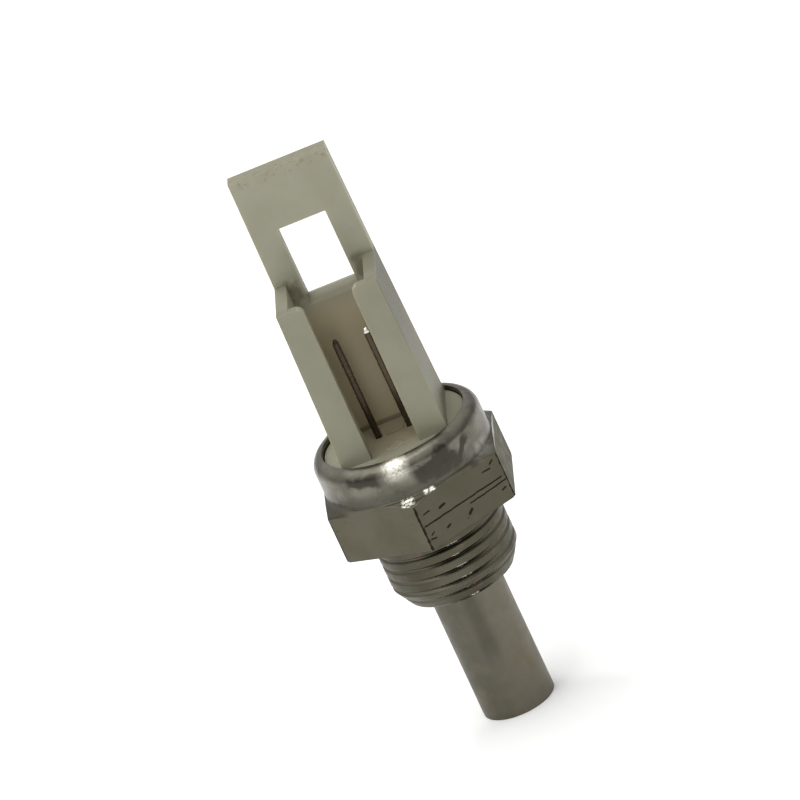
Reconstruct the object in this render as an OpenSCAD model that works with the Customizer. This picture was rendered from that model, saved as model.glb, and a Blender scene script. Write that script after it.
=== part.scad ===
// Screw-in immersion probe with a two-pin latch connector.
// Origin: on the probe's axis, at the hexagon's lower, seating face. +Z points to the connector.
// The socket's open front faces -Y and the latch tongue stands at +Y.

/* [Hexagon and collar] */
// Hexagon size across flats
hex_af = 13; // [12:0.5:14]
// Height at which the hexagon's corners end
hex_h = 3.65; // [3:0.05:3.8]
// Slope of the corner chamfer from the horizontal, in degrees
hex_chamfer_angle = 22; // [20:1:35]
// Outer radius of the round collar above the hexagon
collar_r = 6.4; // [6.3:0.05:6.45]
// Height of the rolled rim's top
rim_z = 6.98; // [6.9:0.02:7.2]
// Radius of the roll over the collar's top edge
rim_roll_r = 0.95; // [0.8:0.05:0.95]

/* [Thread] */
// Major radius of the external pipe thread (G 1/8)
thread_r = 4.864; // [4.8:0.004:4.9]
// Thread pitch
thread_pitch = 0.907; // [0.9:0.001:1]
// Depth of the thread groove
thread_depth = 0.581; // [0.4:0.001:0.6]
// Length from the seating face to the end of the thread
thread_len = 5.9; // [5.8:0.1:6.1]
// Length of the tapered lead at the end of the thread
thread_lead = 1.45; // [1:0.05:1.6]
// How much the radius shrinks along that lead
thread_lead_depth = 0.8; // [0.5:0.05:0.9]

/* [Probe tip] */
// Outer radius of the closed tip
tip_r = 2.75; // [2.5:0.05:3]
// Depth of the tip's end below the seating face
tip_end = 16.5; // [16:0.5:20]
// Wall of the tip, at its side and its end
tip_wall = 0.7; // [0.5:0.05:0.8]
// Chamfer round the tip's end
tip_edge = 0.05; // [0.05:0.05:0.2]

/* [Connector] */
// Height of the moulded flange's top
flange_z = 6.6; // [6.5:0.05:6.7]
// Width of the socket at its mouth
shroud_w = 7.66; // [7.5:0.02:7.66]
// How much wider the socket is at its root
shroud_draft = 0.48; // [0:0.04:0.48]
// Height of the socket's mouth
shroud_z = 19.2; // [18.8:0.1:19.4]
// Distance from the axis to the front plane at the mouth
front_y = 2.85; // [2.8:0.05:3]
// How much further forward the front plane is at the root
front_draft = 0.6; // [0:0.1:0.8]
// Distance from the axis to the back wall's inner face
wall_y = 2.25; // [2.1:0.05:2.25]
// Thickness of the back wall and the tongue
wall_t = 1.3; // [1:0.05:1.3]
// Width of the cavity between the side walls
cavity_w = 5.9; // [5.6:0.1:6]
// Width of the gap between the front lips
mouth_w = 3.72; // [3.5:0.02:3.8]
// Thickness of the front lips at the mouth
lip_t = 0.6; // [0.5:0.05:0.65]

/* [Latch tongue] */
// How much narrower the tongue is at its top than at its root
tongue_taper = 0.2; // [0:0.05:0.4]
// Height of the tongue's top
tongue_z = 27.9; // [27:0.1:29]
// Height of the window's sill
window_z0 = 17.55; // [17.5:0.05:18]
// Height of the window's head
window_z1 = 23.35; // [23:0.05:24]
// Gap that lets the tongue's root turn
root_gap = 0.08; // [0.06:0.01:0.1]

/* [Contacts] */
// Distance between the two pins
pin_pitch = 2.4; // [2.3:0.05:2.6]
// Side of the square pins
pin_side = 0.46; // [0.44:0.02:0.64]
// Distance of the pins behind the axis
pin_y = 0.25; // [0:0.05:0.5]
// Height of the pins' tips
pin_z = 14.7; // [14:0.1:16]

/* [Hidden] */
$fn = 96;

brass = [0.52, 0.51, 0.45];
ivory = [0.72, 0.71, 0.63];
tin = [0.62, 0.6, 0.56];
copper = [0.72, 0.45, 0.3];

over = 1;             // how far a cut runs past the face that it opens
fit = 0.03;           // clearance between pieces that sit in each other
left = -1;
right = 1;

hex_r = hex_af / 2 / cos(30);
hex_top_z = hex_h + (hex_r - collar_r) * tan(hex_chamfer_angle);
hex_edge = 0.1;       // small chamfer under the hexagon's corners
rim_in_r = collar_r - rim_roll_r;

thread_r_min = thread_r - thread_depth;
thread_flank = thread_depth * tan(27.5);
thread_land = 0.25;   // width of each crest
thread_root = thread_pitch - thread_land - 2 * thread_flank;
thread_neck = 0.3;    // plain neck under the hexagon
thread_turns = floor((thread_len - thread_neck) / thread_pitch);
thread_end_r = thread_r - thread_lead_depth;

seat_z = 3.2;         // step inside the body that the seal sits on
pocket_r = 5.9;       // pocket that takes the moulded flange
shoulder_z = 6.1;     // height at which the rolled rim closes over the flange
bore_r = 3.3;         // bore through the thread
bore_z = -5;          // floor of that bore
tip_bore_r = tip_r - tip_wall;
tip_floor_z = tip_wall - tip_end;

seal_r = 0.48;        // radius of the seal ring's section
seal_ring_r = 4.3;
flange_under_z = seat_z + 2 * seal_r + fit;
stem_z = 1.5;         // lower end of the moulding's stem
floor_sink = 0.12;    // how far the cavity's floor lies under the flange's top
floor_z = flange_z - floor_sink;
back_y = wall_y + wall_t;
lip_round = 0.6;      // round on the lips' inner top corners

tail_z = -0.9;        // lower end of the pins
pin_point = 0.35;     // length of the pins' chamfered tips
tail_side = 0.36;     // side of the thinner pin tails

bead_r = 0.95;
bead_z = -13.9;       // middle of the bead
bead_len = 2.4;
paste_z = -11.4;      // top of the paste
wire_r = 0.14;
wire_x = 0.55;        // offset of the wires inside the tip
wire_bend_z = -4.2;   // where the wires start to spread
wire_spread_z = -2.2; // where they stand under the pin tails
sleeve_r = 0.36;
sleeve_top_z = -5.2;
sleeve_dip = 0.6;     // how far the sleeves reach into the paste
joint_r = 0.42;
joint_z = -1.25;

// ---------- body ----------

// Profile points of one thread groove, from the crest down to the groove's floor
function thread_turn(top_z) = [
    [thread_r, top_z],
    [thread_r, top_z - thread_land],
    [thread_r_min, top_z - thread_land - thread_flank],
    [thread_r_min, top_z - thread_land - thread_flank - thread_root]
];

// Grooves down the whole length, cut off by the lead's taper
module thread_profile() {
    groove_bottom_z = -thread_neck - thread_flank - thread_root;
    first_z = groove_bottom_z - thread_flank;
    intersection() {
        polygon(concat(
            [
                [0, over],
                [thread_r, over],
                [thread_r, -thread_neck],
                [thread_r_min, -thread_neck - thread_flank],
                [thread_r_min, groove_bottom_z]
            ],
            [for (i = [0 : thread_turns - 2]) each thread_turn(first_z - i * thread_pitch)],
            [
                [thread_r, first_z - (thread_turns - 1) * thread_pitch],
                [thread_r, -thread_len],
                [0, -thread_len]
            ]
        ));
        polygon([
            [0, over],
            [thread_r, over],
            [thread_r, thread_lead - thread_len],
            [thread_end_r, -thread_len],
            [0, -thread_len]
        ]);
    }
}

module tip_profile() {
    polygon([
        [0, -thread_len + over],
        [tip_r, -thread_len + over],
        [tip_r, tip_edge - tip_end],
        [tip_r - tip_edge, -tip_end],
        [0, -tip_end]
    ]);
}

module hexagon() {
    intersection() {
        rotate([0, 0, -90])
            cylinder(r = hex_r, h = hex_top_z, $fn = 6);
        rotate_extrude()
            polygon([
                [0, 0],
                [hex_r - hex_edge, 0],
                [hex_r, hex_edge * 0.5],
                [hex_r, hex_h],
                [collar_r, hex_top_z],
                [0, hex_top_z]
            ]);
    }
}

module collar_profile() {
    steps = 8;
    polygon(concat(
        [[0, hex_h], [collar_r, hex_h]],
        [for (i = [0 : steps])
            let (a = 90 * i / steps)
                [rim_in_r + rim_roll_r * cos(a), rim_z - rim_roll_r + rim_roll_r * sin(a)]],
        [[0, rim_z]]
    ));
}

module brass_body() {
    color(brass)
        difference() {
            union() {
                hexagon();
                rotate_extrude() collar_profile();
                rotate_extrude() thread_profile();
                rotate_extrude() tip_profile();
            }
            translate([0, 0, seat_z])
                cylinder(r = pocket_r, h = shoulder_z - seat_z);
            translate([0, 0, seat_z])
                cylinder(r = rim_in_r, h = rim_z);
            translate([0, 0, bore_z])
                cylinder(r = bore_r, h = seat_z + over - bore_z);
            translate([0, 0, tip_floor_z])
                cylinder(r = tip_bore_r, h = tip_end);
        }
}

// ---------- moulding ----------

module flange() {
    rotate_extrude()
        polygon([
            [0, stem_z],
            [bore_r - 2 * fit, stem_z],
            [bore_r - 2 * fit, flange_under_z],
            [pocket_r - fit, flange_under_z],
            [pocket_r - fit, shoulder_z - fit],
            [rim_in_r - fit, shoulder_z - fit],
            [rim_in_r - fit, flange_z],
            [0, flange_z]
        ]);
}

// Outside of the socket: its front view run through its side view, both with draft
module shroud_block() {
    half_top = shroud_w / 2;
    half_root = half_top + shroud_draft / 2;
    root_z = flange_z - over / 2;
    intersection() {
        translate([0, back_y, 0])
            rotate([90, 0, 0])
                linear_extrude(back_y + front_y + front_draft)
                    polygon([
                        [-half_root, root_z],
                        [half_root, root_z],
                        [half_top, shroud_z],
                        [-half_top, shroud_z]
                    ]);
        translate([-half_root, 0, 0])
            rotate([90, 0, 90])
                linear_extrude(2 * half_root)
                    polygon([
                        [-front_y - front_draft, root_z],
                        [back_y, root_z],
                        [back_y, shroud_z],
                        [-front_y, shroud_z]
                    ]);
    }
}

// Gap between the lips, wider at the top where its corners are rounded
module mouth_outline() {
    steps = 6;
    half = mouth_w / 2;
    polygon(concat(
        [[-half, floor_z], [half, floor_z]],
        [for (i = [0 : steps])
            let (a = 90 * i / steps)
                [half + lip_round * (1 - cos(a)), shroud_z - lip_round * (1 - sin(a))]],
        [[half + lip_round, shroud_z + over], [-half - lip_round, shroud_z + over]],
        [for (i = [steps : -1 : 0])
            let (a = 90 * i / steps)
                [-half - lip_round * (1 - cos(a)), shroud_z - lip_round * (1 - sin(a))]]
    ));
}

module pin_slot(side) {
    slot = pin_side + 2 * fit;
    translate([side * pin_pitch / 2, pin_y, (stem_z + floor_z) / 2])
        cube([slot, slot, floor_z - stem_z + 2 * over], center = true);
}

// Low ledge on the cavity's floor between the pins' roots
module floor_ledge() {
    pin_gap = 0.2;
    ledge = [pin_pitch - pin_side - 2 * pin_gap, 0.6, 0.15];
    translate([0, pin_y, floor_z + ledge[2] / 2 - fit])
        cube(ledge, center = true);
}

module connector_housing() {
    cavity_front = front_y - lip_t;
    color(ivory) {
        floor_ledge();
        difference() {
            union() {
                flange();
                shroud_block();
            }
            translate([-cavity_w / 2, -cavity_front, floor_z])
                cube([cavity_w, cavity_front + wall_y, shroud_z]);
            translate([0, -cavity_front + fit, 0])
                rotate([90, 0, 0])
                    linear_extrude(lip_t + front_draft + fit)
                        mouth_outline();
            translate([-mouth_w / 2, 0, window_z0])
                cube([mouth_w, back_y + over, shroud_z]);
            pin_slot(left);
            pin_slot(right);
        }
    }
}

module latch_tongue() {
    half_root = shroud_w / 2;
    half_top = half_root - tongue_taper / 2;
    root_z = shroud_z + root_gap;
    color(ivory)
        translate([0, back_y, 0])
            rotate([90, 0, 0])
                linear_extrude(wall_t)
                    difference() {
                        polygon([
                            [-half_root, root_z],
                            [half_root, root_z],
                            [half_top, tongue_z],
                            [-half_top, tongue_z]
                        ]);
                        translate([-mouth_w / 2, window_z0])
                            square([mouth_w, window_z1 - window_z0]);
                    }
}

// ---------- contacts ----------

module pin_outline() {
    half = pin_side / 2;
    point = pin_side / 4;
    tail = tail_side / 2;
    polygon([
        [-half, stem_z],
        [-tail, stem_z],
        [-tail, tail_z],
        [tail, tail_z],
        [tail, stem_z],
        [half, stem_z],
        [half, pin_z - pin_point],
        [point, pin_z],
        [-point, pin_z],
        [-half, pin_z - pin_point]
    ]);
}

module contact_pin(side) {
    color(tin)
        translate([side * pin_pitch / 2, pin_y, 0])
            intersection() {
                translate([0, pin_side / 2, 0])
                    rotate([90, 0, 0])
                        linear_extrude(pin_side) pin_outline();
                translate([-pin_side / 2, 0, 0])
                    rotate([90, 0, 90])
                        linear_extrude(pin_side) pin_outline();
            }
}

module contact_pin_left() {
    contact_pin(left);
}

module contact_pin_right() {
    contact_pin(right);
}

// ---------- inside ----------

module flange_seal() {
    color([0.12, 0.12, 0.12])
        translate([0, 0, seat_z + seal_r + fit / 2])
            rotate_extrude()
                translate([seal_ring_r, 0]) circle(r = seal_r, $fn = 48);
}

module thermistor_bead() {
    color([0.15, 0.18, 0.16])
        rotate_extrude()
            intersection() {
                translate([0, bead_z])
                    union() {
                        translate([0, (bead_len / 2 - bead_r)]) circle(r = bead_r, $fn = 48);
                        translate([0, -(bead_len / 2 - bead_r)]) circle(r = bead_r, $fn = 48);
                        square([2 * bead_r, bead_len - 2 * bead_r], center = true);
                    }
                translate([0, bead_z - bead_len])
                    square([2 * bead_r, 2 * bead_len]);
            }
}

// How far a wire has spread from its place in the tip to its pin tail at height z, from 0 to 1
function wire_spread(z) =
    let (t = min(1, max(0, (z - wire_bend_z) / (wire_spread_z - wire_bend_z))))
        (1 - cos(180 * t)) / 2;

// A wire of round level sections, from z_low up to z_high
module wire_path(side, r, z_low, z_high) {
    sides = 12;
    bends = 10;
    bend_step = (wire_spread_z - wire_bend_z) / bends;
    levels = concat([z_low], [for (i = [0 : bends]) wire_bend_z + i * bend_step], [z_high]);
    points = [
        for (z = levels, k = [0 : sides - 1])
            let (w = wire_spread(z), a = 360 * k / sides)
                [
                    side * (wire_x + w * (pin_pitch / 2 - wire_x)) + r * cos(a),
                    w * pin_y + r * sin(a),
                    z
                ]
    ];
    last = len(levels) - 1;
    walls = [
        for (i = [0 : last - 1], k = [0 : sides - 1])
            [
                i * sides + k,
                (i + 1) * sides + k,
                (i + 1) * sides + (k + 1) % sides,
                i * sides + (k + 1) % sides
            ]
    ];
    ends = [
        [for (k = [0 : sides - 1]) k],
        [for (k = [sides - 1 : -1 : 0]) last * sides + k]
    ];
    polyhedron(points = points, faces = concat(walls, ends));
}

module lead_wire(side) {
    color(copper)
        wire_path(side, wire_r, bead_z + bead_len / 2 + fit, tail_z - fit);
}

module lead_wire_left() {
    lead_wire(left);
}

module lead_wire_right() {
    lead_wire(right);
}

module lead_sleeve(side) {
    low_z = paste_z - sleeve_dip;
    color([0.75, 0.74, 0.66])
        translate([side * wire_x, 0, low_z])
            difference() {
                cylinder(r = sleeve_r, h = sleeve_top_z - low_z, $fn = 32);
                translate([0, 0, -over])
                    cylinder(r = wire_r + fit, h = sleeve_top_z - low_z + 2 * over, $fn = 32);
            }
}

module lead_sleeve_left() {
    lead_sleeve(left);
}

module lead_sleeve_right() {
    lead_sleeve(right);
}

// Drop of solder around the wire's end and the pin tail
module solder_joint(side) {
    tail_hole = tail_side + fit;
    color([0.66, 0.67, 0.68])
        difference() {
            translate([side * pin_pitch / 2, pin_y, joint_z])
                cylinder(r = joint_r, h = 2 * (tail_z - joint_z), $fn = 32);
            translate([side * pin_pitch / 2, pin_y, tail_z - fit + over / 2])
                cube([tail_hole, tail_hole, over], center = true);
            translate([side * pin_pitch / 2, pin_y, joint_z - over])
                cylinder(r = wire_r + fit, h = 2 * over, $fn = 24);
        }
}

module solder_joint_left() {
    solder_joint(left);
}

module solder_joint_right() {
    solder_joint(right);
}

module thermal_paste() {
    color([0.86, 0.86, 0.84])
        difference() {
            translate([0, 0, tip_floor_z + fit])
                cylinder(r = tip_bore_r - fit, h = paste_z - tip_floor_z - fit);
            translate([0, 0, bead_z])
                cylinder(r = bead_r + fit, h = bead_len + 2 * fit, center = true);
            for (side = [left, right])
                translate([side * wire_x, 0, bead_z])
                    cylinder(r = sleeve_r + fit, h = tip_end, $fn = 32);
        }
}

module potting_plug() {
    top_z = stem_z - fit;
    color([0.2, 0.2, 0.19])
        difference() {
            translate([0, 0, bore_z + fit])
                cylinder(r = bore_r - fit, h = top_z - bore_z - fit);
            for (side = [left, right]) {
                wire_path(side, wire_r + fit, bore_z - over, tail_z);
                translate([side * pin_pitch / 2, pin_y, (tail_z + top_z) / 2])
                    cube([tail_side + 2 * fit, tail_side + 2 * fit, top_z - tail_z + over], center = true);
                translate([side * pin_pitch / 2, pin_y, joint_z - fit])
                    cylinder(r = joint_r + fit, h = 2 * (tail_z - joint_z + fit), $fn = 32);
            }
        }
}

// ---------- nodes ----------

brass_body();
connector_housing();
latch_tongue();
contact_pin_left();
contact_pin_right();
flange_seal();
potting_plug();
thermal_paste();
thermistor_bead();
lead_wire_left();
lead_wire_right();
lead_sleeve_left();
lead_sleeve_right();
solder_joint_left();
solder_joint_right();
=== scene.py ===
import math

import bmesh
import bpy
import numpy as np
from mathutils import Matrix, Vector


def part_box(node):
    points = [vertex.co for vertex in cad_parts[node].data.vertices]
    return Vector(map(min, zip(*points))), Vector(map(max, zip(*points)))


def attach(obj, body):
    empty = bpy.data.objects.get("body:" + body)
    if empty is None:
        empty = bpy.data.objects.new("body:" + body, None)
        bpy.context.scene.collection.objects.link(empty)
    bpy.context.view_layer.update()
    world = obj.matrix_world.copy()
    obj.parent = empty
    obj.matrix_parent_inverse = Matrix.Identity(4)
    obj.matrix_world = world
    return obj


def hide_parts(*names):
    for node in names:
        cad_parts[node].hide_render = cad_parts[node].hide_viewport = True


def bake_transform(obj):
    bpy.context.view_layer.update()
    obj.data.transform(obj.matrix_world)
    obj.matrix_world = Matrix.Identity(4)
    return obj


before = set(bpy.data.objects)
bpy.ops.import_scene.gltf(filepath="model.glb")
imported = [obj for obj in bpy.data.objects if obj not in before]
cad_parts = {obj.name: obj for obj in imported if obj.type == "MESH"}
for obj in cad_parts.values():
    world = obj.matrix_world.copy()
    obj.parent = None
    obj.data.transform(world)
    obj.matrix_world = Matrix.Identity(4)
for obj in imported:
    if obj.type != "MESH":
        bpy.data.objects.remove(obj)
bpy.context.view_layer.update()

MM = 0.001

# ---------- sizes, in millimetres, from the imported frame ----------


def box_mm(node):
    """Lowest and highest corner of a CAD node in millimetres."""
    low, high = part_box(node)
    return low / MM, high / MM


BODY_LOW, BODY_HIGH = box_mm("brass_body")
TONGUE_LOW, TONGUE_HIGH = box_mm("latch_tongue")
HOUSING_LOW, HOUSING_HIGH = box_mm("connector_housing")
PIN_LOW, PIN_HIGH = box_mm("contact_pin_right")

HEX_APOTHEM = BODY_HIGH.x
HEX_R = BODY_HIGH.y
TIP_END = BODY_LOW.z
RIM_Z = BODY_HIGH.z
BACK_Y = TONGUE_HIGH.y
WALL_Y = TONGUE_LOW.y
TONGUE_TOP = TONGUE_HIGH.z
TONGUE_HALF = TONGUE_HIGH.x
SHROUD_Z = HOUSING_HIGH.z
STEM_Z = HOUSING_LOW.z
FLANGE_R = HOUSING_HIGH.x

# The rest of the driving sizes, as in the CAD model
HEX_H = 3.65
HEX_CHAMFER = math.radians(22)
COLLAR_R = 6.4
RIM_ROLL = 0.95
RIM_IN_R = COLLAR_R - RIM_ROLL
THREAD_R = 4.864
THREAD_PITCH = 0.907
THREAD_DEPTH = 0.15
THREAD_END = -5.9
THREAD_LEAD = 1.45
GROOVE_HALF = 0.22
THREAD_END_R = THREAD_R - 0.8
TIP_R = 2.75
TIP_WALL = 0.7
POCKET_R = 5.9
SHOULDER_Z = 6.1
SEAT_Z = 3.2
BORE_R = 3.3
BORE_Z = -5.0
FLANGE_Z = 6.6
FLOOR_Z = 6.48
FLANGE_UNDER_Z = 4.19
SHROUD_HALF_ROOT = TONGUE_HALF + 0.24
TONGUE_HALF_TOP = TONGUE_HALF - 0.1
FRONT_TOP = 2.85
FRONT_ROOT = 3.45
LIP_T = 0.6
CAVITY_HALF = 2.95
MOUTH_HALF = 1.86
LIP_ROUND = 0.6
WINDOW_Z0 = 17.55
WINDOW_Z1 = 23.35
PIN_Y = (PIN_LOW.y + PIN_HIGH.y) / 2
PIN_X = (PIN_LOW.x + PIN_HIGH.x) / 2
PIN_SIDE = PIN_HIGH.x - PIN_LOW.x
PIN_TOP = PIN_HIGH.z
PIN_POINT = 0.35
TAIL_Z = PIN_LOW.z
TAIL_SIDE = 0.36
FIT = 0.03


# ---------- mesh helpers ----------


def mesh_object(name, verts_mm, faces):
    """An object from points in millimetres, smooth shaded."""
    mesh = bpy.data.meshes.new(name)
    mesh.from_pydata([tuple(c * MM for c in v) for v in verts_mm], [], faces)
    mesh.validate()
    obj = bpy.data.objects.new(name, mesh)
    bpy.context.collection.objects.link(obj)
    mesh.polygons.foreach_set("use_smooth", [True] * len(mesh.polygons))
    return obj


def baked(obj):
    """Applies every modifier of obj to its mesh."""
    graph = bpy.context.evaluated_depsgraph_get()
    mesh = bpy.data.meshes.new_from_object(obj.evaluated_get(graph))
    obj.modifiers.clear()
    old = obj.data
    obj.data = mesh
    bpy.data.meshes.remove(old)
    return obj


def combine(obj, other, operation):
    """Adds other to obj, or cuts it out of obj, and removes other."""
    cut = obj.modifiers.new(operation, "BOOLEAN")
    cut.operation = operation
    cut.object = other
    cut.solver = "EXACT"
    baked(obj)
    bpy.data.objects.remove(other)
    return obj


def outer_edges_rounded(obj, width_mm, segments=3, angle=30):
    """Rounds every outward edge sharper than angle."""
    work = bmesh.new()
    work.from_mesh(obj.data)
    limit = math.radians(angle)
    edges = [e for e in work.edges if e.is_manifold and e.calc_face_angle_signed() > limit]
    bmesh.ops.bevel(
        work,
        geom=edges,
        offset=width_mm * MM,
        offset_type="OFFSET",
        segments=segments,
        profile=0.5,
        affect="EDGES",
        clamp_overlap=True,
    )
    work.to_mesh(obj.data)
    work.free()
    return obj


def shaded(obj, angle=35):
    """Smooth shading, except across edges sharper than angle."""
    work = bmesh.new()
    work.from_mesh(obj.data)
    for face in work.faces:
        face.smooth = True
    for edge in work.edges:
        edge.smooth = edge.calc_face_angle(0.0) < math.radians(angle)
    work.to_mesh(obj.data)
    work.free()
    normals = obj.modifiers.new("normals", "WEIGHTED_NORMAL")
    normals.keep_sharp = True
    return obj


def block(name, low, high):
    """A box between two corners in millimetres."""
    corners = ((low[0], low[1]), (high[0], low[1]), (high[0], high[1]), (low[0], high[1]))
    verts = [(x, y, z) for z in (low[2], high[2]) for x, y in corners]
    faces = [(3, 2, 1, 0), (4, 5, 6, 7), (0, 1, 5, 4), (1, 2, 6, 5), (2, 3, 7, 6), (3, 0, 4, 7)]
    return mesh_object(name, verts, faces)


def faced_outwards(obj):
    """Turns every face of a closed mesh outwards, as a cutter has to be."""
    work = bmesh.new()
    work.from_mesh(obj.data)
    bmesh.ops.recalc_face_normals(work, faces=work.faces)
    work.to_mesh(obj.data)
    work.free()
    return obj


def prism(name, outline, place, near, far):
    """A straight prism. place(a, b, depth) puts a point of the outline at a depth between near and far."""
    count = len(outline)
    verts = [place(a, b, depth) for depth in (near, far) for a, b in outline]
    faces = [tuple(range(count)), tuple(reversed(range(count, 2 * count)))]
    faces += [(k, k + count, (k + 1) % count + count, (k + 1) % count) for k in range(count)]
    return faced_outwards(mesh_object(name, verts, faces))


def square_column(name, x, y, rows):
    """A square column round a vertical line. rows are (half side, z) from the bottom up."""
    corners = ((-1, -1), (1, -1), (1, 1), (-1, 1))
    verts = [(x + half * i, y + half * j, z) for half, z in rows for i, j in corners]
    last = 4 * (len(rows) - 1)
    faces = [(3, 2, 1, 0), (last, last + 1, last + 2, last + 3)]
    for row in range(0, last, 4):
        faces += [(row + k, row + (k + 1) % 4, row + 4 + (k + 1) % 4, row + 4 + k) for k in range(4)]
    return mesh_object(name, verts, faces)


def arc(cx, cz, radius, start, end, steps):
    """Points of an arc, with angles in degrees from +r towards +z."""
    angles = np.radians(np.linspace(start, end, steps + 1))
    return [(cx + radius * math.cos(a), cz + radius * math.sin(a)) for a in angles]


def turned(name, rows, angles, radius_at=None):
    """A closed turned surface. rows are (r, z, form) from pole to pole, and radius_at shapes a form."""
    count = len(angles)
    verts = [(0, 0, rows[0][1])]
    for r, z, form in rows[1:-1]:
        for a in angles:
            here = radius_at(r, z, a, form) if radius_at else r
            verts.append((here * math.sin(a), -here * math.cos(a), z))
    verts.append((0, 0, rows[-1][1]))
    rings = len(rows) - 2
    faces = [(0, 1 + (k + 1) % count, 1 + k) for k in range(count)]
    for i in range(rings - 1):
        for k in range(count):
            a = 1 + i * count + k
            b = 1 + i * count + (k + 1) % count
            faces.append((a, b, b + count, a + count))
    top = 1 + (rings - 1) * count
    end = len(verts) - 1
    faces += [(top + k, top + (k + 1) % count, end) for k in range(count)]
    return mesh_object(name, verts, faces)


# ---------- body ----------

HEX_POWER = 260       # how tightly the hexagon's corners are rounded
ROW_STEP = 0.04       # row spacing where the surface has detail
ROUND_STEPS = 240     # columns round the body


def hex_radius(a):
    """Distance from the axis to a hexagon with a corner at angle 0 and slightly rounded corners."""
    total = 0.0
    for side in range(6):
        c = math.cos(a - math.radians(30 + 60 * side))
        if c > 0:
            total += (c / HEX_APOTHEM) ** HEX_POWER
    return total ** (-1 / HEX_POWER)


def thread_radius(z, a):
    """Right-handed thread with wide crests and narrow grooves, which runs out under the hexagon."""
    turn = (z / THREAD_PITCH - a / (2 * math.pi)) % 1
    away = abs(turn - 0.5) * THREAD_PITCH
    inward = min(1, max(0, 1 - away / GROOVE_HALF))
    depth = THREAD_DEPTH * inward * inward * (3 - 2 * inward)
    run_out = min(1, max(0, (-z - 0.12) / 0.35))
    return THREAD_R - depth * run_out


def body_radius(r, z, a, form):
    if form == "hex":
        return min(r, hex_radius(a))
    if form == "thread":
        return r - THREAD_R + thread_radius(z, a)
    return r


def body_angles():
    """Columns, closer together at the hexagon's corners."""
    even = [2 * math.pi * k / ROUND_STEPS for k in range(ROUND_STEPS)]
    near = [math.radians(60 * c + d) for c in range(6) for d in (-1.0, -0.65, -0.3, 0.3, 0.65, 1.0)]
    return sorted(a % (2 * math.pi) for a in even + near)


def steps_between(a, b, step):
    return list(np.linspace(a, b, max(2, int(abs(b - a) / step) + 1)))


def body_rows():
    """The body's outline: out across the tip's end, up the outside, over the rim and down the bores."""
    edge = 0.06
    fillet = 0.12
    rows = [(0, TIP_END, "round")]
    rows += [(r, TIP_END, "round") for r in (0.9, 1.8, TIP_R - edge)]
    rows += [(r, z, "round") for r, z in arc(TIP_R - edge, TIP_END + edge, edge, -90, 0, 5)[1:]]
    rows += [(TIP_R, z, "round") for z in steps_between(TIP_END + 0.6, THREAD_END - fillet, 0.8)]
    rows += [(r, z, "round") for r, z in arc(TIP_R + fillet, THREAD_END - fillet, fillet, 180, 90, 4)[1:]]
    rows += [(r, z, "round") for r, z in arc(THREAD_END_R - 0.1, THREAD_END + 0.1, 0.1, -90, -30, 3)]
    for z in steps_between(THREAD_END + 0.12, -0.05, ROW_STEP):
        taper = THREAD_END_R + (THREAD_R - THREAD_END_R) * (z - THREAD_END) / THREAD_LEAD
        rows.append((min(THREAD_R, taper), z, "thread"))
    rows += [(THREAD_R, 0, "round"), (5.2, 0, "round"), (5.8, 0, "round"), (6.3, 0, "hex")]
    under = 0.1
    rows += [(HEX_R - under, 0, "hex")]
    rows += [(HEX_R, z, "hex") for z in steps_between(under, HEX_H - 0.1, 0.35)]
    top_z = HEX_H + (HEX_R - COLLAR_R) * math.tan(HEX_CHAMFER)
    foot = 0.12
    foot_z = top_z - foot * math.tan(HEX_CHAMFER)
    for z in steps_between(HEX_H, foot_z, 0.02):
        rows.append((HEX_R - (z - HEX_H) / math.tan(HEX_CHAMFER), z, "hex"))
    rows += [(r, z, "round") for r, z in arc(COLLAR_R + foot, foot_z + foot, foot, 250, 180, 5)]
    rows += [(COLLAR_R, z, "round") for z in steps_between(foot_z + 2 * foot, RIM_Z - RIM_ROLL, 0.2)]
    rows += [(r, z, "round") for r, z in arc(RIM_IN_R, RIM_Z - RIM_ROLL, RIM_ROLL, 0, 84, 16)[1:]]
    lip = 0.07
    rows += [(r, z, "round") for r, z in arc(RIM_IN_R + lip, RIM_Z - lip, lip, 80, 180, 5)]
    rows += [(RIM_IN_R, SHOULDER_Z, "round"), (POCKET_R, SHOULDER_Z, "round")]
    rows += [(POCKET_R, SEAT_Z, "round"), (BORE_R, SEAT_Z, "round"), (BORE_R, BORE_Z, "round")]
    tip_bore = TIP_R - TIP_WALL
    rows += [(tip_bore, BORE_Z, "round"), (tip_bore, TIP_END + TIP_WALL, "round")]
    rows += [(0, TIP_END + TIP_WALL, "round")]
    return rows


def brass_body():
    body = turned("nickel_body", body_rows(), body_angles(), body_radius)
    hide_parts("brass_body")
    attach(body, "probe")
    return body


# ---------- moulding ----------


def mouth_cutter():
    """The gap between the lips, widened by a round at the top."""
    steps = 8
    right = []
    for i in range(steps + 1):
        a = math.radians(90 * i / steps)
        right.append((MOUTH_HALF + LIP_ROUND * (1 - math.cos(a)), SHROUD_Z - LIP_ROUND * (1 - math.sin(a))))
    right.append((MOUTH_HALF + LIP_ROUND, SHROUD_Z + 1))
    outline = [(-MOUTH_HALF, FLOOR_Z), (MOUTH_HALF, FLOOR_Z)] + right
    outline += [(-x, z) for x, z in reversed(right)]
    near, far = -FRONT_ROOT - 1, -FRONT_TOP + LIP_T + 0.2
    return prism("mouth_cutter", outline, lambda a, b, y: (a, y, b), near, far)


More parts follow.
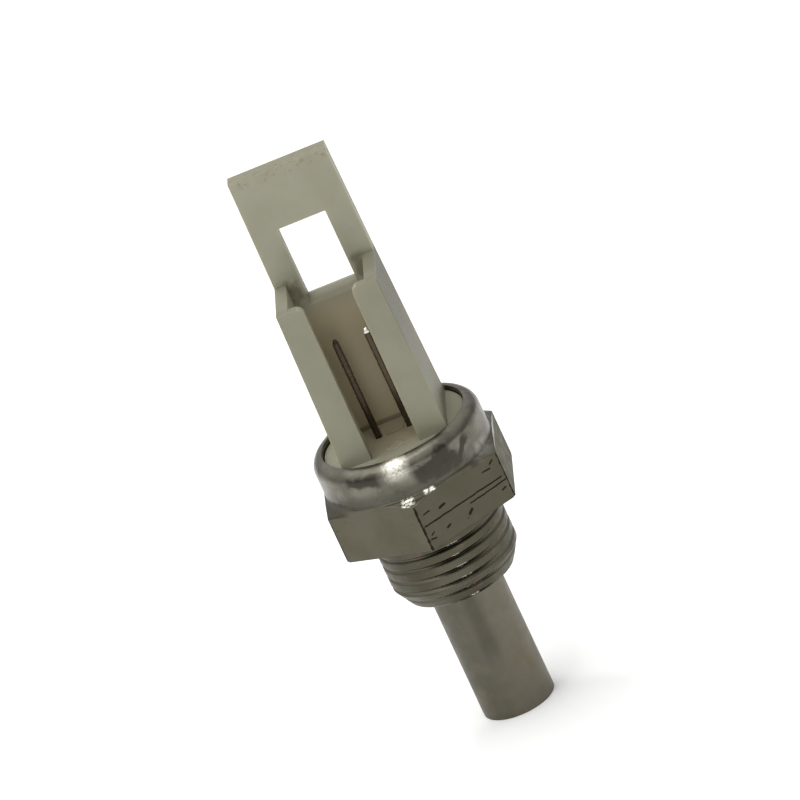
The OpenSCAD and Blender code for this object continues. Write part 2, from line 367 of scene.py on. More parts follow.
def window_cutter():
    """The window, with a round on the front of its sill."""
    round_r = 0.6
    outline = [(WALL_Y - 1, WINDOW_Z0 - round_r)]
    outline += arc(WALL_Y + round_r, WINDOW_Z0 - round_r, round_r, 180, 90, 8)
    outline += [(BACK_Y + 1, WINDOW_Z0), (BACK_Y + 1, WINDOW_Z1), (WALL_Y - 1, WINDOW_Z1)]
    return prism("window_cutter", outline, lambda a, b, x: (x, a, b), -MOUTH_HALF, MOUTH_HALF)


def flange():
    """The turned flange and stem of the moulding."""
    edge = 0.1
    top_r = RIM_IN_R - FIT
    rows = [(0, STEM_Z), (BORE_R - 2 * FIT, STEM_Z), (BORE_R - 2 * FIT, FLANGE_UNDER_Z)]
    rows += [(FLANGE_R, FLANGE_UNDER_Z), (FLANGE_R, SHOULDER_Z - FIT), (top_r, SHOULDER_Z - FIT)]
    rows += arc(top_r - edge, FLANGE_Z - edge, edge, 0, 90, 4) + [(0, FLANGE_Z)]
    angles = [2 * math.pi * k / 144 for k in range(144)]
    return turned("flange", [(r, z, "round") for r, z in rows], angles)


def ejector_ring():
    """A shallow ring that an ejector pin leaves on the cavity's floor."""
    major, minor = 0.62, 0.07
    bpy.ops.mesh.primitive_torus_add(
        major_segments=40,
        minor_segments=10,
        major_radius=major * MM,
        minor_radius=minor * MM,
        location=(0, -2.3 * MM, FLOOR_Z * MM),
    )
    return bpy.context.object


def add_level_cuts(obj, z_low, z_high, count):
    """Cuts the mesh at even heights."""
    work = bmesh.new()
    work.from_mesh(obj.data)
    for z in np.linspace(z_low, z_high, count):
        geometry = work.verts[:] + work.edges[:] + work.faces[:]
        bmesh.ops.bisect_plane(work, geom=geometry, plane_co=(0, 0, z * MM), plane_no=(0, 0, 1))
    work.to_mesh(obj.data)
    work.free()


def socket_and_tongue():
    """The outside of the socket, with the tongue standing up from its back wall, as one shell."""
    root_z = FLANGE_Z - 0.5
    half_outline = [
        (SHROUD_HALF_ROOT, -FRONT_ROOT, root_z),
        (TONGUE_HALF, -FRONT_TOP, SHROUD_Z),
        (TONGUE_HALF, WALL_Y, SHROUD_Z),
        (TONGUE_HALF_TOP, WALL_Y, TONGUE_TOP),
        (TONGUE_HALF_TOP, BACK_Y, TONGUE_TOP),
        (TONGUE_HALF, BACK_Y, SHROUD_Z),
        (SHROUD_HALF_ROOT, BACK_Y, root_z),
    ]
    count = len(half_outline)
    verts = [(side * x, y, z) for side in (1, -1) for x, y, z in half_outline]
    faces = [(k, k + count, (k + 1) % count + count, (k + 1) % count) for k in range(count)]
    for first in (0, count):
        faces += [tuple(first + k for k in (0, 1, 2, 5, 6)), tuple(first + k for k in (2, 3, 4, 5))]
    return faced_outwards(mesh_object("socket_moulding", verts, faces))


def moulding():
    """Socket, tongue and flange as the one moulding that they really are."""
    shape = socket_and_tongue()
    cavity = block(
        "cavity",
        (-CAVITY_HALF, -FRONT_TOP + LIP_T, FLOOR_Z),
        (CAVITY_HALF, WALL_Y, SHROUD_Z + 1),
    )
    combine(shape, cavity, "DIFFERENCE")
    combine(shape, mouth_cutter(), "DIFFERENCE")
    combine(shape, window_cutter(), "DIFFERENCE")
    outer_edges_rounded(shape, 0.15)
    combine(shape, flange(), "UNION")
    floor_cut = block(
        "floor_cut",
        (-MOUTH_HALF, -FRONT_ROOT, FLOOR_Z),
        (MOUTH_HALF, WALL_Y - 0.2, FLANGE_Z + 0.2),
    )
    combine(shape, floor_cut, "DIFFERENCE")
    floor_cut = block(
        "floor_cut",
        (-CAVITY_HALF, -FRONT_TOP + LIP_T, FLOOR_Z),
        (CAVITY_HALF, WALL_Y, FLANGE_Z + 0.2),
    )
    combine(shape, floor_cut, "DIFFERENCE")
    ledge = block("ledge", (-0.7, PIN_Y - 0.3, FLOOR_Z - 0.1), (0.7, PIN_Y + 0.3, FLOOR_Z + 0.12))
    combine(shape, ledge, "UNION")
    combine(shape, ejector_ring(), "UNION")
    half = PIN_SIDE / 2 + FIT
    for side in (-1, 1):
        x = side * PIN_X
        slot = block("slot", (x - half, PIN_Y - half, STEM_Z - 1), (x + half, PIN_Y + half, FLOOR_Z + 1))
        combine(shape, slot, "DIFFERENCE")
    add_level_cuts(shape, SHROUD_Z - 1.4, SHROUD_Z + 2.4, 20)
    shaded(shape)
    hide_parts("connector_housing", "latch_tongue")
    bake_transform(shape)
    return shape


def contact_pin(name, node, side):
    """A square pin with a chamfered point and softened edges."""
    half = PIN_SIDE / 2
    rows = [(TAIL_SIDE / 2, TAIL_Z), (TAIL_SIDE / 2, STEM_Z), (half, STEM_Z)]
    rows += [(half, PIN_TOP - PIN_POINT), (half / 2, PIN_TOP)]
    pin = square_column(name, side * PIN_X, PIN_Y, rows)
    outer_edges_rounded(pin, 0.05)
    shaded(pin)
    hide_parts(node)
    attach(pin, "probe")
    return pin


# ---------- materials ----------


class Nodes:
    """A short way to build a material's nodes."""

    def __init__(self, name):
        self.material = bpy.data.materials.new(name)
        self.material.use_nodes = True
        self.tree = self.material.node_tree
        self.shader = self.tree.nodes["Principled BSDF"]
        self.place = self.tree.nodes.new("ShaderNodeTexCoord").outputs["Object"]
        self.x, self.y, self.z = self.place_mm()

    def place_mm(self):
        """The three coordinates of the point, in millimetres."""
        inputs = {0: self.place, "Scale": 1 / MM}
        scaled = self.add("ShaderNodeVectorMath", inputs, operation="SCALE").outputs[0]
        return self.add("ShaderNodeSeparateXYZ", {0: scaled}).outputs

    def add(self, kind, inputs=None, **settings):
        node = self.tree.nodes.new(kind)
        for key, value in settings.items():
            setattr(node, key, value)
        for key, value in (inputs or {}).items():
            self.put(node.inputs[key], value)
        return node

    def put(self, socket, value):
        if isinstance(value, bpy.types.NodeSocket):
            self.tree.links.new(value, socket)
        else:
            socket.default_value = value

    def math(self, operation, a, b=0.0):
        return self.add("ShaderNodeMath", {0: a, 1: b}, operation=operation).outputs[0]

    def noise(self, scale, detail=3.0, roughness=0.5, stretch=None, distortion=0.0):
        """Noise in object space. scale counts features per millimetre."""
        where = self.place
        if stretch:
            where = self.add("ShaderNodeMapping", {"Vector": where, "Scale": stretch}).outputs[0]
        inputs = {"Vector": where, "Scale": scale / MM, "Detail": detail}
        inputs.update({"Roughness": roughness, "Distortion": distortion})
        return self.add("ShaderNodeTexNoise", inputs).outputs["Fac"]

    def ramp(self, factor, low, high, from_value=0.0, to_value=1.0):
        inputs = {"Value": factor, "From Min": low, "From Max": high}
        inputs.update({"To Min": from_value, "To Max": to_value})
        return self.add("ShaderNodeMapRange", inputs, interpolation_type="SMOOTHSTEP").outputs[0]

    def band(self, value, centre, half, soft):
        """1 within half of centre, and 0 further out than half + soft."""
        away = self.math("ABSOLUTE", self.math("SUBTRACT", value, centre))
        return self.ramp(away, half + soft, half)

    def both(self, *masks):
        result = masks[0]
        for mask in masks[1:]:
            result = self.math("MULTIPLY", result, mask)
        return result

    def azimuth(self):
        """Angle round the axis in radians, 0 at the open front and positive to the right."""
        return self.math("ARCTAN2", self.x, self.math("MULTIPLY", self.y, -1.0))

    def mix(self, factor, a, b):
        node = self.tree.nodes.new("ShaderNodeMix")
        node.data_type = "RGBA"
        self.put(node.inputs[0], factor)
        self.put(node.inputs[6], a)
        self.put(node.inputs[7], b)
        return node.outputs[2]

    def bump(self, height, distance_mm, strength=1.0, normal=None):
        inputs = {"Height": height, "Distance": distance_mm * MM, "Strength": strength}
        if normal is not None:
            inputs["Normal"] = normal
        return self.add("ShaderNodeBump", inputs).outputs[0]

    def shade(self, **values):
        for key, value in values.items():
            self.put(self.shader.inputs[key.replace("_", " ")], value)
        return self.material


def colour(r, g, b):
    return (r, g, b, 1.0)


WHITE = colour(1, 1, 1)


def ivory_plastic():
    """Ivory plastic with specks and grime, painted lighter and browner inside the socket as bounce light,
    and with painted shade on its tops, lips, flanks, floor and back corners.
    """
    m = Nodes("ivory_plastic")
    cloud = m.ramp(m.noise(0.25, detail=4), 0.35, 0.65)
    fine = m.noise(6, detail=2)
    # Painted light and shade: the plastic is painted lighter towards the top and darker towards the bottom.
    upper_painted_light = m.mix(cloud, colour(0.30, 0.29, 0.218), colour(0.325, 0.315, 0.24))
    lower_painted_shade = m.mix(cloud, colour(0.24, 0.232, 0.168), colour(0.262, 0.254, 0.188))
    base = m.mix(m.ramp(m.z, 9, 25), lower_painted_shade, upper_painted_light)
    inside = m.both(
        m.band(m.x, 0, CAVITY_HALF + 0.02, 0.03),
        m.ramp(m.y, LIP_T - FRONT_TOP - 0.3, LIP_T - FRONT_TOP),
        m.ramp(m.y, WALL_Y + 0.9, WALL_Y + 0.6),
        m.ramp(m.z, FLOOR_Z - 0.05, FLOOR_Z + 0.02),
        m.ramp(m.z, WINDOW_Z0 + 0.2, WINDOW_Z0 - 2.2),
    )
    # Painted light: inside the socket the plastic is painted lighter and browner, as bounced light, fading
    # in below the window.
    painted_bounce_light = m.mix(m.ramp(m.z, 7.5, 14), colour(0.5, 0.445, 0.31), colour(0.38, 0.332, 0.222))
    base = m.mix(inside, base, painted_bounce_light)
    # Painted shade: the window sill's round, the tops of the walls and the tongue, the lips' upper part and
    # the outer flanks are darkened towards shaded_tone.
    shaded_tone = colour(0.11, 0.104, 0.072)
    sill = m.both(m.band(m.x, 0, MOUTH_HALF, 0.3), m.band(m.z, WINDOW_Z0 + 0.05, 0.2, 0.35))
    sill = m.both(sill, m.ramp(m.y, WALL_Y - 0.1, WALL_Y), m.ramp(m.y, BACK_Y - 0.2, BACK_Y - 0.5))
    base = m.mix(m.math("MULTIPLY", sill, 0.44), base, shaded_tone)
    wall_tops = m.both(m.band(m.z, SHROUD_Z, 0.005, 0.03), m.ramp(m.y, WALL_Y + 0.02, WALL_Y - 0.02))
    caps = m.math("MAXIMUM", wall_tops, m.ramp(m.z, TONGUE_TOP - 0.03, TONGUE_TOP - 0.005))
    base = m.mix(m.math("MULTIPLY", caps, 0.48), base, shaded_tone)
    lips = m.both(m.ramp(m.y, -1.8, -2.2), m.ramp(m.z, 9, 18.5))
    base = m.mix(m.math("MULTIPLY", lips, 0.22), base, shaded_tone)
    # Painted shade: the cavity's floor is darkened where shade falls between the walls.
    floor_painted_shade = m.both(inside, m.ramp(m.z, FLOOR_Z + 0.5, FLOOR_Z + 0.2))
    base = m.mix(m.math("MULTIPLY", floor_painted_shade, 0.7), base, colour(0.16, 0.135, 0.085))
    lean = (SHROUD_HALF_ROOT - TONGUE_HALF) / (SHROUD_Z - FLANGE_Z)
    spread = m.math("MULTIPLY", m.math("SUBTRACT", SHROUD_Z, m.z), lean)
    half_here = m.math("SUBTRACT", m.math("ABSOLUTE", m.x), spread)
    flanks = m.both(m.ramp(half_here, TONGUE_HALF - 0.05, TONGUE_HALF - 0.01), m.ramp(m.z, 6.8, 7.2))
    flanks = m.both(flanks, m.ramp(m.z, 9, 17, 0.4, 0.9), m.ramp(m.z, SHROUD_Z + 0.3, SHROUD_Z - 0.3))
    base = m.mix(flanks, base, shaded_tone)
    # The corners where the side walls meet the tongue are darkened, partly dirt and partly painted shade;
    # the top edge's speckles and the specks are dirt.
    patch = m.ramp(m.noise(0.9, detail=4), 0.36, 0.56)
    corner_x = m.band(m.math("ABSOLUTE", m.x), CAVITY_HALF - 0.35, 0.35, 0.35)
    corners = m.both(corner_x, m.band(m.z, SHROUD_Z - 0.8, 0.7, 0.7), m.band(m.y, WALL_Y, 0.2, 0.7), patch)
    speckle = m.ramp(m.noise(2.2, detail=5, roughness=0.7), 0.5, 0.66)
    top_edge = m.both(m.band(m.z, TONGUE_TOP - 0.2, 0.2, 0.7), speckle)
    speck = m.ramp(m.noise(1.6, detail=5, roughness=0.7), 0.7, 0.76)
    dirt_and_corner_shade = m.math("MAXIMUM", m.math("MULTIPLY", corners, 0.75), m.math("MULTIPLY", top_edge, 0.45))
    dirt_and_corner_shade = m.math("MAXIMUM", dirt_and_corner_shade, m.math("MULTIPLY", speck, 0.2))
    base = m.mix(dirt_and_corner_shade, base, colour(0.13, 0.105, 0.06))
    rough = m.ramp(fine, 0.3, 0.7, 0.48, 0.6)
    normal = m.bump(fine, 0.006, 0.5, m.bump(m.noise(0.9), 0.02, 0.3))
    return m.shade(
        Base_Color=base,
        Roughness=rough,
        Normal=normal,
        Specular_IOR_Level=0.25,
        Subsurface_Weight=0.5,
        Subsurface_Radius=(1.0, 0.8, 0.5),
        Subsurface_Scale=0.0006,
    )


# Where the painted shade in the thread's grooves is darkest, as an angle round the axis in radians
DARKEST_GROOVE = 0.2

# Scratches and dents on the hexagon's right front face, in millimetres and degrees: place along the
# face from its middle, height, length, width and tilt
SCRATCHED_FACE = math.radians(30)
SCRATCHES = [
    (-0.1, 1.92, 6.9, 0.08, 0),
    (2.0, 1.52, 3.2, 0.07, 1),
    (-1.7, 2.6, 0.5, 0.15, 8),
    (-3.0, 2.8, 0.5, 0.07, 4),
    (0.15, 0.95, 0.4, 0.18, 35),
    (-1.85, 0.98, 0.3, 0.12, 20),
    (2.5, 2.95, 0.6, 0.07, -6),
    (3.2, 1.0, 0.3, 0.1, 12),
    (3.1, 3.3, 0.3, 0.1, 30),
    (-3.3, 0.8, 0.4, 0.07, -12),
    (-3.2, 1.15, 0.25, 0.06, 25),
]

# Painted dark reflections on the collar: place round it, height, length, width and tilt
COLLAR_DARK_REFLECTIONS = [
    (-3.0, 6.15, 2.0, 0.5, -4),
    (2.5, 5.5, 2.6, 1.1, 10),
    (4.7, 4.95, 2.2, 0.4, 38),
    (3.3, 5.0, 2.0, 0.6, 15),
    (12.5, 5.2, 3.0, 0.8, 10),
    (-10.5, 5.0, 2.6, 0.9, -12),
    (-17.0, 5.6, 2.2, 0.6, 5),
]


def marks_at(m, along, marks, soft_along, soft_across, wobble):
    """Mask of straight marks on a surface that is measured along it and upwards."""
    mask = 0.0
    for place, height, length, width, tilt in marks:
        c, s = math.cos(math.radians(tilt)), math.sin(math.radians(tilt))
        u = m.math("SUBTRACT", along, place)
        v = m.math("ADD", m.math("SUBTRACT", m.z, height), wobble)
        lengthwise = m.math("ADD", m.math("MULTIPLY", u, c), m.math("MULTIPLY", v, s))
        across = m.math("SUBTRACT", m.math("MULTIPLY", v, c), m.math("MULTIPLY", u, s))
        long_enough = m.band(lengthwise, 0, length / 2, soft_along)
        narrow_enough = m.band(across, 0, width / 2, soft_across)
        mask = m.math("MAXIMUM", mask, m.both(long_enough, narrow_enough))
    return mask


def scratches(m):
    """Mask of the scratches, with slightly ragged edges."""
    cos, sin = math.cos(SCRATCHED_FACE), math.sin(SCRATCHED_FACE)
    along = m.math("ADD", m.math("MULTIPLY", m.x, cos), m.math("MULTIPLY", m.y, sin))
    outward = m.math("SUBTRACT", m.math("MULTIPLY", m.x, sin), m.math("MULTIPLY", m.y, cos))
    wobble = m.math("MULTIPLY", m.math("SUBTRACT", m.noise(1.8, detail=4), 0.5), 0.12)
    mask = marks_at(m, along, SCRATCHES, 0.12, 0.035, wobble)
    return m.both(mask, m.ramp(outward, HEX_APOTHEM - 0.12, HEX_APOTHEM - 0.03))


def collar_dark_reflections(m):
    """Mask of the painted dark reflections, with cloudy edges."""
    along = m.math("MULTIPLY", m.azimuth(), COLLAR_R)
    wobble = m.math("MULTIPLY", m.math("SUBTRACT", m.noise(0.7, detail=5, distortion=0.5), 0.5), 1.6)
    mask = marks_at(m, along, COLLAR_DARK_REFLECTIONS, 0.7, 0.35, wobble)
    return m.both(mask, m.ramp(m.z, HEX_H + 0.5, HEX_H + 0.9))


def corner_wear(m):
    """Mask of the dark, chipped lines down the hexagon's corners."""
    sixth = math.pi / 3
    turn = m.math("FRACT", m.math("ADD", m.math("DIVIDE", m.azimuth(), sixth), 6.5))
    away = m.math("MULTIPLY", m.math("ABSOLUTE", m.math("SUBTRACT", turn, 0.5)), sixth * HEX_R)
    chips = m.math("MULTIPLY", m.ramp(m.noise(2.6, detail=4), 0.45, 0.65), 0.05)
    line = m.ramp(m.math("SUBTRACT", away, chips), 0.08, 0.04)
    return m.both(line, m.band(m.z, HEX_H / 2, HEX_H / 2 - 0.02, 0.04))


def nickel():
    """Dull nickel with random tone, rust, pits and scratches, and with painted glints, painted reflections
    and painted shade.
    """
    m = Nodes("nickel_plate")
    radius = m.math("SQRT", m.math("ADD", m.math("MULTIPLY", m.x, m.x), m.math("MULTIPLY", m.y, m.y)))
    collar = m.ramp(m.z, HEX_H + 0.25, HEX_H + 0.45)
    below_hex = m.ramp(m.z, 0.02, -0.02)
    thread = m.both(below_hex, m.ramp(m.z, THREAD_END - 0.05, THREAD_END), m.ramp(radius, 3, 3.2))
    tip = m.ramp(m.z, THREAD_END + 0.05, THREAD_END - 0.02)
    cloud = m.ramp(m.noise(0.35, detail=4), 0.35, 0.65)

    base = m.mix(cloud, colour(0.094, 0.087, 0.062), colour(0.11, 0.103, 0.076))
    # Painted shade: the hexagon's right front face is darkened.
    right_face_painted_shade = m.band(m.azimuth(), math.radians(30), math.radians(29), math.radians(2))
    base = m.mix(m.math("MULTIPLY", right_face_painted_shade, 0.45), base, colour(0.065, 0.06, 0.04))
    # Painted shade: the hexagon's far right face is darkened, and further down a darker specular tint dims
    # its reflection.
    far_face_painted_shade = m.band(m.azimuth(), math.radians(90), math.radians(29), math.radians(2))
    base = m.mix(m.math("MULTIPLY", far_face_painted_shade, 0.3), base, colour(0.02, 0.019, 0.015))
    # Painted shade: the chamfer ledges at the hexagon's left and right corners are darkened.
    corner_x = m.math("MAXIMUM", m.ramp(m.x, -4.6, -5.4), m.band(m.x, 4.9, 0.15, 0.25))
    above_flats = m.ramp(m.z, HEX_H - 0.02, HEX_H + 0.03)
    ledge = m.both(corner_x, above_flats, m.ramp(m.z, HEX_H + 0.42, HEX_H + 0.36))
    base = m.mix(m.math("MULTIPLY", ledge, 0.8), base, colour(0.055, 0.05, 0.035))

    collar_cloud = m.ramp(m.noise(0.8, detail=5, roughness=0.6), 0.35, 0.65)
    collar_metal = m.mix(collar_cloud, colour(0.12, 0.111, 0.088), colour(0.175, 0.165, 0.135))
    # Painted reflections: dark places on the collar, stronger towards the front.
    collar_reflection_mask = m.both(collar_dark_reflections(m), m.ramp(m.y, 1, -3, 0.35, 0.9))
    collar_metal = m.mix(collar_reflection_mask, collar_metal, colour(0.042, 0.038, 0.032))
    # Painted shade: the collar's lowest band is darkened.
    collar_low_painted_shade = m.ramp(m.z, 5.4, 4.6)
    collar_metal = m.mix(m.math("MULTIPLY", collar_low_painted_shade, 0.65), collar_metal, colour(0.06, 0.056, 0.045))
    # Painted highlight: a grainy glint on the collar's rolled rim.
    grain = m.ramp(m.noise(5, detail=4, roughness=0.7), 0.3, 0.6, 0.3, 1.0)
    collar_painted_glint = m.both(m.band(m.azimuth(), -0.03, 0.03, 0.17), m.ramp(m.z, 5.2, 6.5), grain)
    collar_metal = m.mix(m.math("MULTIPLY", collar_painted_glint, 0.95), collar_metal, colour(0.85, 0.82, 0.72))
    base = m.mix(collar, base, collar_metal)
    # Painted highlight: a light sheen at the collar's foot near the right corner.
    foot_painted_sheen = m.both(
        m.band(m.azimuth(), math.radians(60), math.radians(2), math.radians(14)),
        m.band(m.z, HEX_H + 0.7, 0.15, 0.65),
        m.ramp(m.noise(1.6, detail=4), 0.3, 0.55, 0.35, 1.0),
    )
    base = m.mix(m.math("MULTIPLY", foot_painted_sheen, 0.6), base, colour(0.34, 0.33, 0.29))
    # Painted highlights: two glints on the chamfer ledge at the front corner.
    left_glint = m.both(
        m.band(m.azimuth(), math.radians(-2.5), math.radians(2), math.radians(3)),
        m.band(m.z, HEX_H + 0.26, 0.06, 0.16),
    )
    right_glint = m.both(
        m.band(m.azimuth(), math.radians(12.5), math.radians(2.5), math.radians(2)),
        m.band(m.z, HEX_H + 0.4, 0.05, 0.1),
    )
    ragged = m.ramp(m.noise(3.2, detail=4, roughness=0.7), 0.42, 0.52)
    ledge_painted_glints = m.both(m.math("MAXIMUM", left_glint, right_glint), ragged)
    base = m.mix(ledge_painted_glints, base, colour(0.96, 0.94, 0.86))

    thread_metal = m.mix(cloud, colour(0.074, 0.068, 0.047), colour(0.095, 0.088, 0.065))
    turn = m.math("DIVIDE", m.azimuth(), 2 * math.pi)
    groove = m.math("FRACT", m.math("SUBTRACT", m.math("DIVIDE", m.z, THREAD_PITCH), turn))
    # Painted shade: the grooves are darkened, most near DARKEST_GROOVE.
    groove_shade_mask = m.band(groove, 0.5, 0.05, 0.1)
    off_middle = m.math("ABSOLUTE", m.math("SUBTRACT", m.azimuth(), DARKEST_GROOVE))
    sides = m.ramp(off_middle, 0.3, 0.7)
    groove_shade_strength = m.ramp(off_middle, 0.55, 0.15, 0.0, 0.97)
    thread_metal = m.mix(m.both(groove_shade_mask, groove_shade_strength), thread_metal, colour(0.015, 0.013, 0.009))
    # Painted light: the grooves away from the darkest part are lightened.
    groove_painted_light = m.both(m.band(groove, 0.5, 0.12, 0.12), sides, m.ramp(m.x, -1, 4, 0.5, 0.9))
    thread_metal = m.mix(groove_painted_light, thread_metal, colour(0.18, 0.167, 0.128))
    # Painted highlights: small glints beside the grooves.
    thread_painted_glints = m.both(
        m.band(m.azimuth(), 0.22, 0.05, 0.06),
        m.band(groove, 0.63, 0.05, 0.06),
        m.ramp(m.noise(2.5), 0.4, 0.55),
    )
    thread_metal = m.mix(thread_painted_glints, thread_metal, colour(0.95, 0.93, 0.85))
    pink = m.ramp(m.noise(0.8, detail=3), 0.56, 0.7)
    thread_metal = m.mix(m.math("MULTIPLY", pink, 0.45), thread_metal, colour(0.17, 0.11, 0.09))
    base = m.mix(thread, base, thread_metal)

    # Painted light and shade: the tip is darker on its left and lighter on its right.
    tip_painted_side_light = m.ramp(m.x, -1.6, 2.2)
    tip_metal = m.mix(tip_painted_side_light, colour(0.108, 0.1, 0.078), colour(0.168, 0.154, 0.12))
    tip_metal = m.mix(m.math("MULTIPLY", cloud, 0.3), tip_metal, colour(0.15, 0.138, 0.11))
    shade_line = m.both(m.band(m.azimuth(), 0.03, 0.06, 0.28), m.ramp(m.z, -13, -10))
    rust = m.both(m.ramp(m.noise(0.7, detail=5, roughness=0.65), 0.48, 0.68), m.ramp(m.z, -9, -15))
    tip_metal = m.mix(m.math("MULTIPLY", rust, 0.5), tip_metal, colour(0.17, 0.138, 0.082))
    tip_metal = m.mix(m.math("MULTIPLY", shade_line, 0.5), tip_metal, colour(0.065, 0.06, 0.047))
    base = m.mix(tip, base, tip_metal)

    marks = m.math("MAXIMUM", scratches(m), corner_wear(m))
    pits = m.both(m.ramp(m.noise(2.4, detail=3), 0.71, 0.75), m.ramp(m.z, THREAD_END, 0))
    marks = m.math("MAXIMUM", marks, m.math("MULTIPLY", pits, 0.6))
    base = m.mix(marks, base, colour(0.018, 0.015, 0.01))

    rough = m.ramp(m.noise(1.2, detail=4), 0.3, 0.7, 0.27, 0.37)
    rough = m.math("ADD", rough, m.math("MULTIPLY", tip, 0.16))
    rough = m.math("SUBTRACT", rough, m.math("MULTIPLY", thread, 0.08))
    rough = m.math("ADD", rough, m.math("MULTIPLY", m.both(thread, sides), 0.2))
    brushed = m.noise(5, detail=3, stretch=(0.25, 0.25, 3))
    chatter = m.both(m.noise(3.5, detail=4, roughness=0.7), collar)
    normal = m.bump(m.both(m.noise(0.5, detail=2), collar), 0.12, 0.6)
    normal = m.bump(chatter, 0.02, 0.7, normal)
    normal = m.bump(m.noise(0.7), 0.03, 0.4, normal)
    normal = m.bump(brushed, 0.006, 0.6, normal)
    normal = m.bump(m.noise(11, detail=2), 0.004, 0.5, normal)
    normal = m.bump(m.math("SUBTRACT", 1.0, marks), 0.03, 0.8, normal)
    # Painted shade: a darker specular tint dims the far right face's reflection.
    far_edge_painted_shade = m.both(far_face_painted_shade, m.band(m.z, HEX_H / 2, HEX_H / 2, 0.05))
    far_face_shade_tint = m.mix(far_edge_painted_shade, WHITE, colour(0.42, 0.42, 0.38))
    return m.shade(Base_Color=base, Metallic=1.0, Roughness=rough, Normal=normal, Specular_Tint=far_face_shade_tint)


def pin_metal(name, point):
    """Tin painted dark for the dark reflections it shows, with a painted highlight down its middle, a
    painted reflection at the foot and a point in the given colour.
    """
    m = Nodes(name)
    base = m.mix(m.ramp(m.noise(0.6), 0.35, 0.65), colour(0.036, 0.026, 0.016), colour(0.05, 0.036, 0.026))
    # Painted highlight: a lighter line down the middle of the pin.
    middle = m.band(m.math("ABSOLUTE", m.x), PIN_X, 0.06, 0.1)
    base = m.mix(m.math("MULTIPLY", middle, 0.5), base, colour(0.1, 0.082, 0.055))
    # Painted reflection: the foot is lighter.
    base = m.mix(m.ramp(m.z, FLOOR_Z + 1.6, FLOOR_Z + 0.8), base, colour(0.085, 0.07, 0.045))
    base = m.mix(m.ramp(m.z, PIN_TOP - PIN_POINT - 0.02, PIN_TOP - PIN_POINT + 0.04), base, point)
    rough = m.ramp(m.noise(4), 0.3, 0.7, 0.24, 0.34)
    normal = m.bump(m.noise(12, stretch=(1, 1, 0.1)), 0.003, 0.4)
    return m.shade(Base_Color=base, Metallic=1.0, Roughness=rough, Normal=normal)


def plain_metal(name, low, high, roughness):
    m = Nodes(name)
    base = m.mix(m.ramp(m.noise(1.5), 0.35, 0.65), colour(*low), colour(*high))
    rough = m.ramp(m.noise(4), 0.3, 0.7, roughness * 0.8, roughness * 1.25)
    normal = m.bump(m.noise(12, stretch=(1, 1, 0.1)), 0.004, 0.4)
    return m.shade(Base_Color=base, Metallic=1.0, Roughness=rough, Normal=normal)


def plain_plastic(name, low, high, roughness):
    m = Nodes(name)
    base = m.mix(m.ramp(m.noise(1.2), 0.35, 0.65), colour(*low), colour(*high))
    rough = m.ramp(m.noise(5), 0.3, 0.7, roughness * 0.85, roughness * 1.15)
    normal = m.bump(m.noise(8), 0.006, 0.5)
    return m.shade(Base_Color=base, Roughness=rough, Normal=normal)


def give(obj, material):
    """Makes material the only one of obj."""
    obj.data.materials.clear()
    obj.data.materials.append(material)


# ---------- stage, lights and camera ----------


def floor():
    m = Nodes("floor_paper")
    paper = m.mix(m.noise(0.02), colour(0.95, 0.95, 0.95), colour(0.97, 0.97, 0.97))
    m.shade(Base_Color=paper, Roughness=0.9)
    half = 3000
    plane = mesh_object(
        "floor",
        [(-half, -half, TIP_END), (half, -half, TIP_END), (half, half, TIP_END), (-half, half, TIP_END)],
        [(0, 1, 2, 3)],
    )
    give(plane, m.material)


def direction(azimuth, elevation):
    """A unit vector towards a place seen from the object. Azimuth 0 is -Y and 90 is +X, in degrees."""
    a, e = math.radians(azimuth), math.radians(elevation)
    return Vector((math.sin(a) * math.cos(e), -math.cos(a) * math.cos(e), math.sin(e)))


def softbox(name, azimuth, elevation, distance, size, power):
    """A round lamp that faces the object. distance and size are in metres."""
    light = bpy.data.lights.new(name, "AREA")
    light.shape = "DISK"
    light.size = size
    light.energy = power
    obj = bpy.data.objects.new(name, light)
    bpy.context.collection.objects.link(obj)
    obj.location = direction(azimuth, elevation) * distance
    obj.rotation_mode = "QUATERNION"
    obj.rotation_quaternion = direction(azimuth, elevation).to_track_quat("Z", "Y")


def lighting():
    """A soft sky, darker towards the horizon and to the right, and four lamps."""
    world = bpy.data.worlds.new("studio")
    world.use_nodes = True
    tree = world.node_tree
    sky = tree.nodes["Background"]
    towards = tree.nodes.new("ShaderNodeTexCoord")
    parts = tree.nodes.new("ShaderNodeSeparateXYZ")
    tree.links.new(towards.outputs["Generated"], parts.inputs[0])
    height = tree.nodes.new("ShaderNodeMapRange")
    height.interpolation_type = "SMOOTHSTEP"
    height.inputs["From Min"].default_value = 0.0
    height.inputs["From Max"].default_value = 0.8
    height.inputs["To Min"].default_value = 0.4
    height.inputs["To Max"].default_value = 1.0
    tree.links.new(parts.outputs["Z"], height.inputs["Value"])
    side = tree.nodes.new("ShaderNodeMath")
    side.operation = "MULTIPLY_ADD"
    side.inputs[1].default_value = -0.2
    tree.links.new(parts.outputs["X"], side.inputs[0])
    tree.links.new(height.outputs[0], side.inputs[2])
    tree.links.new(side.outputs[0], sky.inputs["Strength"])
    sky.inputs["Color"].default_value = colour(1, 1, 0.99)
    bpy.context.scene.world = world
    softbox("overhead", azimuth=-75, elevation=77, distance=0.5, size=0.6, power=1.0)
    softbox("back_key", azimuth=-160, elevation=66, distance=0.5, size=0.06, power=0.4)
    softbox("front_fill", azimuth=-25, elevation=35, distance=0.8, size=0.9, power=0.9)
    softbox("sparkle", azimuth=25, elevation=75, distance=0.5, size=0.02, power=0.1)
    bpy.context.scene.view_settings.view_transform = "Standard"


CAMERA_AZIMUTH = 8.1
CAMERA_ELEVATION = 22.4
CAMERA_ROLL = 24.96
CAMERA_DISTANCE = 0.9
AIM = Vector((1.3, 0.18, 8.55))  # point of the object at the picture's centre, in millimetres
PIXELS_PER_MM = 14.03
PICTURE_WIDTH = 800


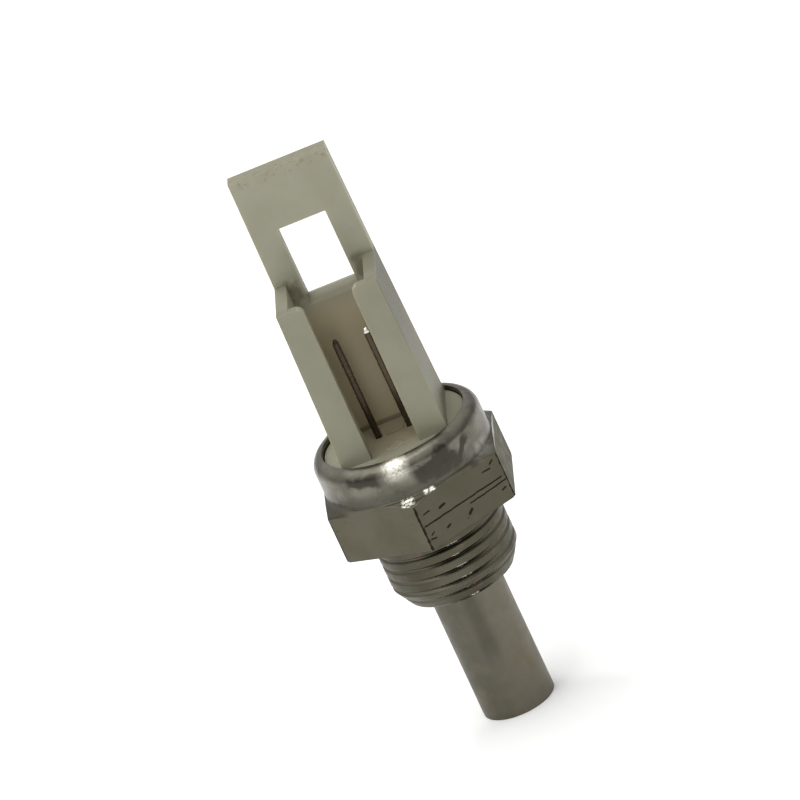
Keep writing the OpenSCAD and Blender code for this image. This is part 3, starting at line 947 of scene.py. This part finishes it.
def camera():
    """The camera at the photograph's angle, as a long lens at CAMERA_DISTANCE metres."""
    data = bpy.data.cameras.new("camera")
    width_mm = PICTURE_WIDTH / PIXELS_PER_MM
    data.lens = data.sensor_width * CAMERA_DISTANCE / (width_mm * MM)
    data.clip_start = 0.01
    data.clip_end = 20
    obj = bpy.data.objects.new("camera", data)
    bpy.context.collection.objects.link(obj)
    back = direction(CAMERA_AZIMUTH, CAMERA_ELEVATION)
    obj.location = AIM * MM + back * CAMERA_DISTANCE
    turn = back.to_track_quat("Z", "Y").to_matrix()
    roll = Matrix.Rotation(math.radians(-CAMERA_ROLL), 3, "Z")
    obj.rotation_mode = "QUATERNION"
    obj.rotation_quaternion = (turn @ roll).to_quaternion()
    bpy.context.scene.camera = obj


# ---------- the scene ----------

camera()
lighting()
floor()
give(brass_body(), nickel())
give(moulding(), ivory_plastic())

# The right pin's point is a painted glint; the left pin's point is dark like its shaft.
give(contact_pin("tin_pin_left", "contact_pin_left", -1), pin_metal("pin_left", colour(0.05, 0.04, 0.03)))
give(contact_pin("tin_pin_right", "contact_pin_right", 1), pin_metal("pin_right", colour(0.85, 0.83, 0.75)))

COPPER = plain_metal("wire_metal", (0.6, 0.3, 0.16), (0.7, 0.38, 0.22), 0.3)
SOLDER = plain_metal("solder", (0.5, 0.51, 0.52), (0.62, 0.63, 0.64), 0.25)
FINISHES = {
    "lead_wire_left": COPPER,
    "lead_wire_right": COPPER,
    "solder_joint_left": SOLDER,
    "solder_joint_right": SOLDER,
    "flange_seal": plain_plastic("seal_rubber", (0.02, 0.02, 0.02), (0.035, 0.035, 0.035), 0.6),
    "potting_plug": plain_plastic("potting_resin", (0.03, 0.03, 0.03), (0.05, 0.05, 0.045), 0.35),
    "thermal_paste": plain_plastic("thermal_paste", (0.72, 0.72, 0.7), (0.82, 0.82, 0.8), 0.7),
    "thermistor_bead": plain_plastic("bead_coating", (0.03, 0.05, 0.04), (0.06, 0.09, 0.07), 0.25),
    "lead_sleeve_left": plain_plastic("sleeve_plastic", (0.66, 0.65, 0.55), (0.76, 0.75, 0.66), 0.5),
    "lead_sleeve_right": plain_plastic("sleeve_plastic", (0.66, 0.65, 0.55), (0.76, 0.75, 0.66), 0.5),
}
for node, material in FINISHES.items():
    give(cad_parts[node], material)
